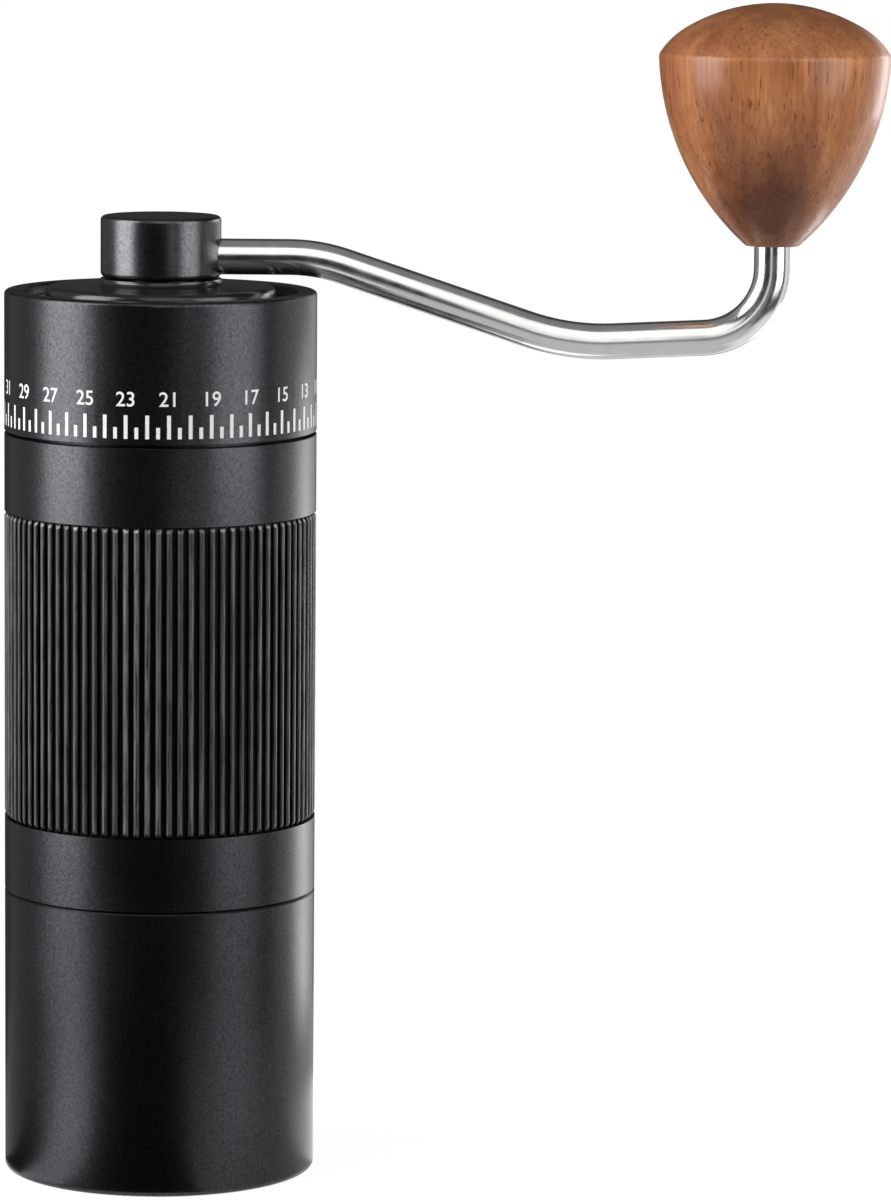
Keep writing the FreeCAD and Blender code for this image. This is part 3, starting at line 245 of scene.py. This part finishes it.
def ribbed_rubber():
    """Fibrous black rubber, with painted shade in the grooves between its ribs and a painted highlight on
    their upper ends.
    """
    material, tree, shader, place = start_finish("ribbed_rubber", (0.02, 0.02, 0.021), 0.45)
    fibre = noise(tree, stretched(tree, place, (1.0, 1.0, 0.06)), 2000.0, detail=4.0, roughness=0.75)
    streak = noise(tree, stretched(tree, place, (1.0, 1.0, 0.015)), 800.0)
    speck = noise(tree, place, 1800.0, detail=3.0, roughness=0.7)
    radius = away_from(tree, stretched(tree, place, (1.0, 1.0, 0.0)), (0.0, 0.0, 0.0))
    tone = tinted(tree, fibre, (0.40, (0.004, 0.004, 0.0045)), (0.60, (0.075, 0.075, 0.079)))
    shades = (
        spread(tree, streak, 0.35, 0.65, 0.35, 1.45),
        # Painted shade: the tone falls to a twentieth in the grooves.
        spread(tree, radius, GROOVE_RADIUS, CREST_RADIUS, 0.05, 1.0),
        # Painted highlight: the tone rises ninefold at the ribs' upper ends.
        spread(tree, along_z(tree, place), PAINTED_GLINT_FROM, PAINTED_GLINT_TO, 1.0, 9.0),
    )
    for shade in shades:
        tone = multiplied(tree, tone, shade)
    # Gloss and sheen also fall towards the grooves, deepening the painted shade there.
    gloss = spread(tree, radius, GROOVE_RADIUS, CREST_RADIUS, 0.08, 0.5)
    sheen = spread(tree, radius, GROOVE_RADIUS, CREST_RADIUS, 0.0, 0.8)
    uneven = spread(tree, speck, NOISE_LOW, NOISE_HIGH, 0.34, 0.54)
    tree.links.new(tone, shader.inputs["Base Color"])
    tree.links.new(uneven, shader.inputs["Roughness"])
    tree.links.new(gloss, shader.inputs["Specular IOR Level"])
    tree.links.new(sheen, shader.inputs["Sheen Weight"])
    shader.inputs["Sheen Roughness"].default_value = 0.35
    bumped(tree, shader, fibre, 0.12)
    return material


grip_rubber = ribbed_rubber()
print("made", grip_rubber.name, "greyed over", round((CREST_RADIUS - GROOVE_RADIUS) / MM, 2), "mm of a rib")

# %% [markdown]
# The lid is moulded in glossy black plastic. It could be left perfectly smooth, but gloss is never quite
# flat, so a very shallow, wide noise makes its reflections swim a little, as they do on a moulding.

# %% Glossy black plastic
def gloss_black():
    """Black plastic with a faint ripple and a little dust."""
    material, tree, shader, place = start_finish("gloss_black", (0.006, 0.006, 0.0065), 0.22)
    ripple = noise(tree, place, 180.0, detail=1.0)
    dust = noise(tree, place, 900.0)
    tree.links.new(spread(tree, dust, 0.35, 0.75, 0.19, 0.27), shader.inputs["Roughness"])
    bumped(tree, shader, ripple, 0.02)
    return material


lid_gloss = gloss_black()
print("made", lid_gloss.name)

# %% [markdown]
# The crank is a stainless rod, bent cold and polished to a satin shine. It mirrors the room softly, so most
# of its look comes from what stands round it. Polishing lines could be drawn along it, but a rod this thin
# would hide them. A faint mottling in its roughness and tone is enough to keep the bands from looking
# drawn.

# %% Satin stainless steel
def bare_metal(name, colour, roughness, mottle=0.04, scratch_depth=0.002):
    """Metal, unevenly polished. Mottle is how far its roughness strays either way."""
    material, tree, shader, place = start_finish(name, colour, roughness, metallic=1.0)
    polish = noise(tree, place, 320.0, detail=3.0)
    scratch = noise(tree, place, 5200.0)
    dark = tuple(0.94 * c for c in colour)
    mottled = tinted(tree, polish, (NOISE_LOW, dark), (NOISE_HIGH, colour))
    uneven = spread(tree, polish, NOISE_LOW, NOISE_HIGH, roughness - mottle, roughness + mottle)
    tree.links.new(mottled, shader.inputs["Base Color"])
    tree.links.new(uneven, shader.inputs["Roughness"])
    bumped(tree, shader, scratch, scratch_depth)
    return material


rod_steel = bare_metal("rod_steel", (0.72, 0.71, 0.69), 0.2)
print("made", rod_steel.name)

# %% [markdown]
# The knob is a reddish brown hardwood, turned with the grain upright and varnished. A picture of wood could
# be wrapped round it, but it would smear over the dome. Noises fill the whole block, as grain does, so they
# look right from every side. Three things make wood read as wood: broad bands of tone along the grain, fine
# hair lines, and short dark pores a few millimetres long. All three are noises drawn out along Z. Where the
# surface faces up, on the dome, the colour darkens, partly for its end grain, which drinks more varnish,
# and partly as painted shade for the weaker light from above. A darker patch, drawn out upwards and fading
# outwards, lies low on the knob's front. The varnish is the shader's coat.

# %% The wood's colours, and a dark patch low on its front
WHITE = (1.0, 1.0, 1.0)
WOOD_LIGHT = (0.52, 0.220, 0.086)
WOOD_MIDDLE = (0.40, 0.150, 0.056)
WOOD_DEEP = (0.29, 0.100, 0.037)
HAIR_TINT = (0.72, 0.67, 0.62)
PORE_TINT = (0.52, 0.43, 0.37)
# The darker patch low on the knob's front: its tint, centre, upward stretch, and where its fading starts and
# ends.
LOW_PATCH_TINT = (0.30, 0.21, 0.18)
LOW_PATCH_AT = Vector((106.0, -12.0, 171.5)) * MM
LOW_PATCH_DRAWN_OUT = 0.5
LOW_PATCH_INNER = 4.0 * MM
LOW_PATCH_OUTER = 13.0 * MM
RAGGED = 1.5 * MM


def added(tree, value, other):
    """The sum of two values."""
    node = tree.nodes.new("ShaderNodeMath")
    tree.links.new(value, node.inputs[0])
    tree.links.new(other, node.inputs[1])
    return node.outputs["Value"]


def dark_heart(tree, place, band):
    """A dark patch that fades outwards, drawn out upwards, with an edge that follows the bands."""
    squeeze = (1.0, 1.0, LOW_PATCH_DRAWN_OUT)
    centre = (LOW_PATCH_AT.x, LOW_PATCH_AT.y, LOW_PATCH_AT.z * LOW_PATCH_DRAWN_OUT)
    reach = away_from(tree, stretched(tree, place, squeeze), centre)
    ragged_reach = added(tree, reach, spread(tree, band, NOISE_LOW, NOISE_HIGH, -RAGGED, RAGGED))
    fading = spread(tree, ragged_reach, LOW_PATCH_INNER, LOW_PATCH_OUTER, 0.0, 1.0)
    return tinted(tree, fading, (0.0, LOW_PATCH_TINT), (1.0, WHITE))


print("the heart fades over", round((LOW_PATCH_OUTER - LOW_PATCH_INNER) / MM, 1), "mm")

# %% Varnished wood
def varnished_wood():
    """Hardwood with upright grain under a thin coat of varnish."""
    material, tree, shader, place = start_finish("varnished_wood", WOOD_MIDDLE, 0.4, specular=0.25)
    band = noise(tree, stretched(tree, place, (1.0, 1.0, 0.14)), 150.0, detail=3.0, distortion=0.6)
    hair = noise(tree, stretched(tree, place, (1.0, 1.0, 0.035)), 1500.0, detail=3.0, roughness=0.6)
    pore = noise(tree, stretched(tree, place, (1.0, 1.0, 0.07)), 2000.0, detail=1.0)
    upward = along_z(tree, tree.nodes.new("ShaderNodeTexCoord").outputs["Normal"])
    colour = tinted(tree, band, (NOISE_LOW, WOOD_DEEP), (0.5, WOOD_MIDDLE), (NOISE_HIGH, WOOD_LIGHT))
    layers = (
        tinted(tree, hair, (NOISE_LOW, HAIR_TINT), (0.62, WHITE)),
        tinted(tree, pore, (0.63, WHITE), (0.73, PORE_TINT)),
        # Darker where the surface faces up: partly end grain, partly painted shade.
        spread(tree, upward, 0.4, 1.0, 1.0, 0.55),
        # A darker patch low on the front, fading outwards.
        dark_heart(tree, place, band),
    )
    for layer in layers:
        colour = multiplied(tree, colour, layer)
    tree.links.new(colour, shader.inputs["Base Color"])
    tree.links.new(spread(tree, hair, NOISE_LOW, NOISE_HIGH, 0.46, 0.34), shader.inputs["Roughness"])
    bumped(tree, shader, hair, 0.01)
    shader.inputs["Coat Weight"].default_value = 0.28
    shader.inputs["Coat Roughness"].default_value = 0.18
    return material


knob_wood = varnished_wood()
print("made", knob_wood.name, "with", len(knob_wood.node_tree.nodes), "nodes")

# %% [markdown]
# The rest hides inside until the lid or cup comes off: burrs, bearings, springs, clips and seals. Each
# could have a recipe of its own, but metals differ mostly in tone and polish, so one recipe makes them all.
# Rubber and the white paint in the dial's marks are plain surfaces with a fine tooth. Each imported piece
# then gets the finish that its slot names, apart from the hub, which is a shade lighter than the body.

# %% Inner finishes and marks
def toothed(name, colour, roughness, grain, depth_mm):
    """A plain painted or rubber surface, a little uneven in tone and with a fine tooth."""
    material, tree, shader, place = start_finish(name, colour, roughness)
    tooth = noise(tree, place, grain, detail=3.0)
    dark = tuple(0.86 * c for c in colour)
    mottled = tinted(tree, tooth, (NOISE_LOW, dark), (NOISE_HIGH, colour))
    uneven = spread(tree, tooth, NOISE_LOW, NOISE_HIGH, roughness - 0.05, roughness + 0.05)
    tree.links.new(mottled, shader.inputs["Base Color"])
    tree.links.new(uneven, shader.inputs["Roughness"])
    bumped(tree, shader, tooth, depth_mm)
    return material


FINISHES = {
    "black_anodised": body_black,
    "ribbed_rubber": grip_rubber,
    "gloss_black": lid_gloss,
    "satin_steel": rod_steel,
    "varnished_wood": knob_wood,
    "bare_aluminium": bare_metal("bare_aluminium", (0.76, 0.77, 0.78), 0.36),
    "burr_steel": bare_metal("burr_steel", (0.48, 0.48, 0.49), 0.3, 0.06, 0.006),
    "plain_steel": bare_metal("plain_steel", (0.56, 0.56, 0.57), 0.28),
    "spring_steel": bare_metal("spring_steel", (0.60, 0.59, 0.58), 0.24),
    "bearing_steel": bare_metal("bearing_steel", (0.66, 0.67, 0.68), 0.14, 0.03, 0.001),
    "bushing_brass": bare_metal("bushing_brass", (0.60, 0.42, 0.17), 0.3),
    "seal_rubber": toothed("seal_rubber", (0.016, 0.016, 0.017), 0.6, 2400.0, 0.01),
    "mark_white": toothed("mark_white", (0.80, 0.80, 0.78), 0.55, 3000.0, 0.006),
}
OWN_FINISH = {"crank_hub": hub_black}

for node_name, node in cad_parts.items():
    slot_name = node.material_slots[0].material.name
    node.material_slots[0].material = OWN_FINISH.get(node_name, FINISHES[slot_name.split(".")[0]])
print("finishes:", len(FINISHES) + len(OWN_FINISH), "on", len(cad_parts), "pieces")

# %% [markdown]
# The numbers on the dial are filled white like its marks. They could be a picture wrapped round the dial,
# but that blurs close up. Text that becomes a mesh stays sharp, and Blender's own font draws it, so nothing
# has to be loaded. Each number is a text object first, lying flat, with a little thickness and a slightly
# bolder outline, and only its mesh is kept.

# %% One flat number
DIGIT_HIGH = 2.6 * MM
DIGIT_THICK = 0.05 * MM
DIGIT_BOLDER = 0.03 * MM
CAPITAL_SHARE = 0.729
CURVE_STEPS = 6


def flat_number(number):
    """Vertices and faces of one number, lying flat and centred."""
    text = bpy.data.curves.new(f"number_{number}", "FONT")
    text.body = str(number)
    text.size = DIGIT_HIGH / CAPITAL_SHARE
    text.align_x = "CENTER"
    text.extrude = DIGIT_THICK / 2
    text.resolution_u = CURVE_STEPS
    text.offset = DIGIT_BOLDER
    holder = bpy.data.objects.new(text.name, text)
    scene.collection.objects.link(holder)
    bpy.context.view_layer.update()
    mesh = bpy.data.meshes.new_from_object(holder.evaluated_get(bpy.context.evaluated_depsgraph_get()))
    points = [v.co.copy() for v in mesh.vertices]
    faces = [list(f.vertices) for f in mesh.polygons]
    bpy.data.objects.remove(holder)
    return points, faces


print("digits in mm: high", round(DIGIT_HIGH / MM, 2), "thick", round(DIGIT_THICK / MM, 3))

# %% [markdown]
# The flat numbers are bent round the dial: what was sideways becomes an angle, and what was depth becomes
# a radius. The dial has 46 units round, counted clockwise as seen from above, and every odd one has a
# number. All of them are one piece that turns with the dial, and they stand a hair proud of it, as paint
# does.

# %% Numbers bent round the dial
UNIT_COUNT = 46
ZERO_ANGLE = math.radians(80.0)
DIGIT_PROUD = 0.02 * MM
DIGIT_ABOVE_MARKS = 1.55 * MM
dial_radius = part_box("dial_ring")[1].x
digit_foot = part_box("dial_marks")[1].z + DIGIT_ABOVE_MARKS


def wrapped(point, angle):
    """A point of a flat number, bent round the dial at an angle."""
    turn = angle + point.x / dial_radius
    radius = dial_radius + DIGIT_PROUD - DIGIT_THICK / 2 + point.z
    return Vector((radius * math.cos(turn), radius * math.sin(turn), digit_foot + point.y))


points, faces = [], []
for unit in range(1, UNIT_COUNT, 2):
    number_points, number_faces = flat_number(unit)
    angle = ZERO_ANGLE - unit * 2 * math.pi / UNIT_COUNT
    faces += [[i + len(points) for i in face] for face in number_faces]
    points += [wrapped(p, angle) for p in number_points]
number_mesh = bpy.data.meshes.new("dial_numbers")
number_mesh.from_pydata(points, [], faces)
number_mesh.materials.append(FINISHES["mark_white"])
dial_numbers = bpy.data.objects.new("dial_numbers", number_mesh)
scene.collection.objects.link(dial_numbers)
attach(dial_numbers, "dial")
print("dial numbers:", UNIT_COUNT // 2, "with", len(faces), "faces")

# %% [markdown]
# Between the inner burr and the lower bearing sits a coil spring that keeps play out of the burr. The burr
# rises and falls with the dial, so the coil has to close and open, and a rigid piece can't. It could be
# drawn anew for each height. Here a copy of the imported coil takes its place, fixed where it stands, and
# the imported one is hidden.

# %% Burr spring
packed_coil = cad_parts["burr_spring"]
coil = bpy.data.objects.new("burr_spring_coil", packed_coil.data.copy())
coil.matrix_world = packed_coil.matrix_world.copy()
scene.collection.objects.link(coil)
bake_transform(coil)
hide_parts("burr_spring")

# %% [markdown]
# The grinder stands on a small pale floor in a white room. A large white sheet behind it could give the
# same picture, but it would throw light from every side and flatten the black. So room and floor are white
# to whatever looks at them directly or in a mirror, and give little stray light. The Light Path node makes
# that possible, because it tells which kind of ray is asking. The floor lies a hair below the cup's foot
# and still takes its shadow.

# %% White room
ROOM_LIGHT = 0.10


def seen_directly(tree):
    """1 for a look from the camera, in a reflection or through glass, and 0 for light on its way."""
    path = tree.nodes.new("ShaderNodeLightPath")
    total = path.outputs["Is Camera Ray"]
    for name in ("Is Glossy Ray", "Is Transmission Ray"):
        either = tree.nodes.new("ShaderNodeMath")
        either.operation = "MAXIMUM"
        tree.links.new(total, either.inputs[0])
        tree.links.new(path.outputs[name], either.inputs[1])
        total = either.outputs[0]
    return total


def white_room():
    """The world: white to a look, and dim as a lamp."""
    world = bpy.data.worlds.new("white_room")
    scene.world = world
    world.use_nodes = True
    tree = world.node_tree
    background = tree.nodes["Background"]
    background.inputs["Color"].default_value = (*WHITE, 1)
    strength = spread(tree, seen_directly(tree), 0.0, 1.0, ROOM_LIGHT, 1.0)
    tree.links.new(strength, background.inputs["Strength"])


white_room()
print("stray light of the room:", ROOM_LIGHT)

# %% Pale floor
FLOOR_RADIUS = 0.16
FLOOR_LEVEL = -0.05 * MM
FLOOR_TONE = 0.25
FLOOR_GLOW = 0.85
RING_STEPS = 96


def sheet(name, points, faces):
    """A flat piece of the studio: it is no part of the grinder."""
    mesh = bpy.data.meshes.new(name)
    mesh.from_pydata(points, [], faces)
    piece = bpy.data.objects.new(name, mesh)
    scene.collection.objects.link(piece)
    return piece


def ring(name, inner, outer, start, end):
    """A ring or part of one. Inner and outer are pairs of a radius and a height."""
    points = []
    for step in range(RING_STEPS + 1):
        angle = math.radians(start + (end - start) * step / RING_STEPS)
        points += [(r * math.cos(angle), r * math.sin(angle), z) for r, z in (inner, outer)]
    return sheet(name, points, [[2 * s, 2 * s + 1, 2 * s + 3, 2 * s + 2] for s in range(RING_STEPS)])


def pale_floor():
    """A round floor, just large enough for the shadow."""
    floor = ring("floor", (0.0, FLOOR_LEVEL), (FLOOR_RADIUS, FLOOR_LEVEL), 0.0, 360.0)
    material = bpy.data.materials.new("pale_floor")
    material.use_nodes = True
    tree = material.node_tree
    shader = tree.nodes["Principled BSDF"]
    shader.inputs["Base Color"].default_value = (FLOOR_TONE, FLOOR_TONE, FLOOR_TONE, 1)
    shader.inputs["Roughness"].default_value = 1.0
    shader.inputs["Specular IOR Level"].default_value = 0.0
    shader.inputs["Emission Color"].default_value = (*WHITE, 1)
    glow = spread(tree, seen_directly(tree), 0.0, 1.0, 0.0, FLOOR_GLOW)
    tree.links.new(glow, shader.inputs["Emission Strength"])
    floor.data.materials.append(material)


pale_floor()
print("floor radius in m:", FLOOR_RADIUS)

# %% [markdown]
# Black metal shows its roundness by what is dark as well as by what is bright, and it can mirror only what
# is there. So cards in several shades stand round the front, left and back, lie on the floor close by and
# close the room above, as a photographer sets them up out of the picture. They are seen in reflections
# alone, and each glows at its own shade instead of being lit, so what they show on the metal is a painted
# reflection. The right of the back stays open to the white room, which brightens that edge of the body.
# Only a dim card high up hangs there, and what lies on the floor is bright close to the body.

# %% One card
def card(piece, shade):
    """Makes a sheet a card that glows at a fixed shade and only reflections see: a painted reflection."""
    material = bpy.data.materials.new(piece.name)
    material.use_nodes = True
    shader = material.node_tree.nodes["Principled BSDF"]
    shader.inputs["Base Color"].default_value = (0, 0, 0, 1)
    shader.inputs["Specular IOR Level"].default_value = 0.0
    shader.inputs["Emission Color"].default_value = (*WHITE, 1)
    shader.inputs["Emission Strength"].default_value = shade
    piece.data.materials.append(material)
    piece.visible_camera = False
    piece.visible_diffuse = False
    piece.visible_shadow = False


print("a sheet can be made a card")

# %% Cards round the grinder
CARD_RADIUS = 0.95
CARD_LOW = -0.40
CARD_HIGH = 1.40
HIGH_CARD_LOW = 0.45
BODY_GAP = 0.029
NEAR_RADIUS = 0.085
# The shades at which the cards glow, seen only in reflections.
BLACK = 0.01
DIM = 0.06
CEILING_GREY = 0.25
SOFT = 0.28
GREY = 0.65
BRIGHT = 1.7

# A card has a shade and lies between two angles: 0 is the arm, -90 the front and -180 the left.
FLOOR_CARDS = {
    "back": (BLACK, -290.0, -232.0),
    "left_back": (SOFT, -232.0, -186.0),
    "left_gap": (BLACK, -186.0, -158.0),
    "left": (BRIGHT, -158.0, -131.0),
    "front": (BLACK, -131.0, -70.0),
    "arm": (GREY, -70.0, 5.0),
}
WALL_CARDS = {
    "back": (DIM, -290.0, -232.0),
    "left": (SOFT, -232.0, -186.0),
    "front": (BLACK, -186.0, 5.0),
}
OPEN_SIDE = (5.0, 70.0)

for side, (shade, start, end) in FLOOR_CARDS.items():
    card(ring("floor_card_" + side, (BODY_GAP, 0.0), (FLOOR_RADIUS, 0.0), start, end), shade)
card(ring("floor_card_near", (BODY_GAP, 0.0), (NEAR_RADIUS, 0.0), *OPEN_SIDE), BRIGHT)
card(ring("floor_card_far", (NEAR_RADIUS, 0.0), (FLOOR_RADIUS, 0.0), *OPEN_SIDE), GREY)
for side, (shade, start, end) in WALL_CARDS.items():
    card(ring("wall_card_" + side, (CARD_RADIUS, CARD_LOW), (CARD_RADIUS, CARD_HIGH), start, end), shade)
card(ring("high_card", (CARD_RADIUS, HIGH_CARD_LOW), (CARD_RADIUS, CARD_HIGH), *OPEN_SIDE), DIM)
card(ring("ceiling_card", (0.0, CARD_HIGH), (CARD_RADIUS, CARD_HIGH), 0.0, 360.0), CEILING_GREY)

# %% [markdown]
# A round rod mirrors almost everything around it, squeezed into thin bands. Four small cards near the crank
# draw its bands: one below, two before it, the upper one bright, and one beside the upright end. Lamps
# could draw them too, but would light the knob and body as well. The cards are so small that little else
# mirrors them.

# %% Cards for the crank
ROD_GREY = 0.3
ROD_CARDS = {
    "low": (GREY, (0.02, -0.03, 0.095), (0.15, -0.03, 0.095), (0.15, -0.20, 0.095)),
    "front": (ROD_GREY, (0.05, -0.20, 0.095), (0.16, -0.20, 0.095), (0.16, -0.20, 0.14)),
    "glint": (BRIGHT, (0.07, -0.20, 0.145), (0.10, -0.20, 0.145), (0.10, -0.20, 0.23)),
    "side": (GREY, (0.17, 0.03, 0.12), (0.17, 0.20, 0.12), (0.17, 0.20, 0.172)),
}


def oblong(first, second, third):
    """The four corners of an oblong, from three of them in a row."""
    return [first, second, third, Vector(first) + Vector(third) - Vector(second)]


for name, (shade, *corners) in ROD_CARDS.items():
    card(sheet("rod_card_" + name, oblong(*corners), [[0, 1, 2, 3]]), shade)
print("cards for the crank:", len(ROD_CARDS))

# %% [markdown]
# Four soft boxes light it. A tall one at the left draws the long band down the body, a weaker one at the
# right draws the second band, a narrow one behind on the right picks out that edge, and a wide one high in
# front lights the crank and the knob. A soft box is an area lamp. A spot would draw a hard thin line on a
# round body, and the larger the box, the softer its band's edge.

# %% Soft boxes
BODY_MIDDLE = (0.0, 0.0, 0.1)
CRANK_MIDDLE = (0.05, 0.0, 0.16)


def soft_box(name, azimuth, distance, height, width, tall, power, aim=BODY_MIDDLE):
    """A lamp at an angle round the grinder: 0 is the camera's side, and plus is to its right."""
    lamp = bpy.data.lights.new(name, "AREA")
    lamp.shape = "RECTANGLE"
    lamp.size = width
    lamp.size_y = tall
    lamp.energy = power
    holder = bpy.data.objects.new(name, lamp)
    turn = math.radians(azimuth)
    holder.location = (distance * math.sin(turn), -distance * math.cos(turn), height)
    holder.rotation_euler = (Vector(aim) - holder.location).to_track_quat("-Z", "Y").to_euler()
    holder.visible_camera = False
    scene.collection.objects.link(holder)


soft_box("left_box", -71.5, 0.70, 0.36, width=0.54, tall=0.90, power=10.8)
soft_box("right_box", 60.0, 0.75, 0.36, width=0.54, tall=0.90, power=5.6)
soft_box("rim_box", 132.0, 0.75, 0.04, width=0.26, tall=0.80, power=2.5)
soft_box("top_box", 6.0, 0.62, 0.72, width=0.60, tall=0.72, power=2.0, aim=CRANK_MIDDLE)
